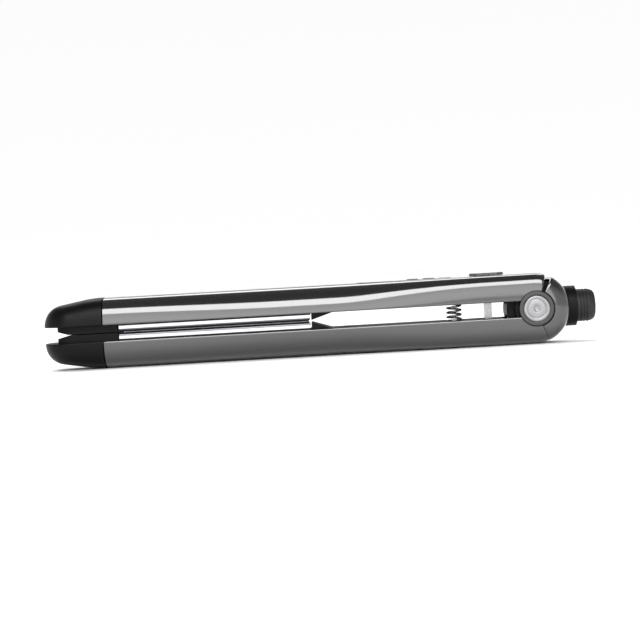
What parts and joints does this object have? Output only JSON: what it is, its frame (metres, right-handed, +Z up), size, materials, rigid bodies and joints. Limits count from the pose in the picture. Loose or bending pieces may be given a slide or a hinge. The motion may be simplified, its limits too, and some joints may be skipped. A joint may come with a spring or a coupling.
{
  "type": "flat iron",
  "caption": "Hair-straightening flat iron: two long rounded arms hinged at the tail, cool tips, facing floating heated plates, button panel, lock slider and cord swivel.",
  "frame": {"origin": "on the surface that the iron lies on, under the centre of its bounding box", "axes": "+X from the tips to the cord gland along the closed arms, +Z up through the upper arm, +Y across the plates; the hinge axis lies along Y"},
  "size_m": [0.29, 0.035, 0.0384],
  "materials": {
    "gloss_shell": "high gloss black",
    "tip_plastic": "fine matte black",
    "frame_plastic": "satin black, heat resistant",
    "cover_plastic": "fine spark texture",
    "plate_metal": "polished, grey titanium coat",
    "ceramic": "matte white",
    "spring_steel": "bright drawn",
    "screw_steel": "zinc plated",
    "bracket_steel": "black coated",
    "brass": "plain",
    "silicone": "matte red silicone",
    "mica": "flaky mica sheet",
    "wire_sleeve": "glass-fibre sleeve",
    "epoxy": "epoxy bead",
    "nylon": "natural nylon",
    "cap_metal": "satin chrome",
    "swivel_rubber": "matte black",
    "panel_plastic": "satin black",
    "dark_glass": "smoked clear acrylic",
    "display_body": "grey potting",
    "lens": "frosted clear",
    "board": "solder resist",
    "components": "moulded",
    "button_plastic": "satin",
    "power_plastic": "silver satin"
  },
  "bodies": {
    "lower_arm": {"lower_shell": "gloss_shell", "lower_tip": "tip_plastic", "lower_plate_frame": "frame_plastic", "lower_handle_cover": "cover_plastic", "lower_insulator": "mica", "lower_float_pads": "silicone", "lower_leads": "wire_sleeve", "lower_screws": "screw_steel", "thermal_fuse": "brass", "hinge_core": "frame_plastic", "core_screws": "screw_steel", "tail_housing": "gloss_shell", "hinge_pin": "spring_steel", "hinge_washers": "nylon", "opening_spring": "spring_steel", "hinge_leads": "wire_sleeve", "swivel_contacts": "brass", "swivel_retainer": "nylon"},
    "upper_arm": {"upper_shell": "gloss_shell", "upper_tip": "tip_plastic", "upper_plate_frame": "frame_plastic", "upper_handle_cover": "cover_plastic", "upper_insulator": "mica", "upper_float_pads": "silicone", "upper_leads": "wire_sleeve", "upper_screws": "screw_steel", "hinge_bracket": "bracket_steel", "bracket_screws": "screw_steel", "hinge_bushes": "brass", "hinge_caps": "cap_metal", "control_panel": "panel_plastic", "display_window": "dark_glass", "display_module": "display_body", "indicator_lens": "lens", "main_board": "board", "board_components": "components", "tact_switches": "components"},
    "lower_heat_plate": {"lower_plate": "plate_metal", "lower_heater": "ceramic", "lower_heater_clip": "spring_steel", "lower_thermistor": "epoxy"},
    "upper_heat_plate": {"upper_plate": "plate_metal", "upper_heater": "ceramic", "upper_heater_clip": "spring_steel", "upper_thermistor": "epoxy"},
    "cord_swivel": {"swivel_gland": "swivel_rubber", "swivel_slip_rings": "brass"},
    "power_key": {"power_button": "power_plastic"},
    "temp_up_key": {"temp_up_button": "button_plastic"},
    "temp_down_key": {"temp_down_button": "button_plastic"},
    "lock_slider": {"lock_knob": "button_plastic", "lock_hook": "spring_steel"}
  },
  "joints": [
    {"name": "arm_hinge", "type": "hinge", "parent": "lower_arm", "child": "upper_arm", "pos_m": [0.113, 0, 0.0185], "axis": [0, 1, 0], "range_deg": [0, 10], "stiffness_Nm_per_rad": 1, "springref_deg": 22.92, "deforming": ["opening_spring", "hinge_leads"]},
    {"name": "lower_plate_float", "type": "slide", "parent": "lower_arm", "child": "lower_heat_plate", "axis": [0, 0, -1], "range_m": [0, 0.0008], "stiffness_N_per_m": 6000, "springref_m": -0.0004, "deforming": ["lower_float_pads"]},
    {"name": "upper_plate_float", "type": "slide", "parent": "upper_arm", "child": "upper_heat_plate", "axis": [0, 0, 1], "range_m": [0, 0.0008], "stiffness_N_per_m": 6000, "springref_m": -0.0004, "deforming": ["upper_float_pads"]},
    {"name": "cord_turn", "type": "hinge", "parent": "lower_arm", "child": "cord_swivel", "pos_m": [0.113, 0, 0.0185], "axis": [1, 0, 0], "continuous": true},
    {"name": "power_press", "type": "slide", "parent": "upper_arm", "child": "power_key", "axis": [0, 0, -1], "range_m": [0, 0.0006], "stiffness_N_per_m": 1500, "springref_m": -0.0006},
    {"name": "temp_up_press", "type": "slide", "parent": "upper_arm", "child": "temp_up_key", "axis": [0, 0, -1], "range_m": [0, 0.0006], "stiffness_N_per_m": 1500, "springref_m": -0.0006},
    {"name": "temp_down_press", "type": "slide", "parent": "upper_arm", "child": "temp_down_key", "axis": [0, 0, -1], "range_m": [0, 0.0006], "stiffness_N_per_m": 1500, "springref_m": -0.0006},
    {"name": "lock_slide", "type": "slide", "parent": "upper_arm", "child": "lock_slider", "axis": [-1, 0, 0], "range_m": [0, 0.004]}
  ]
}
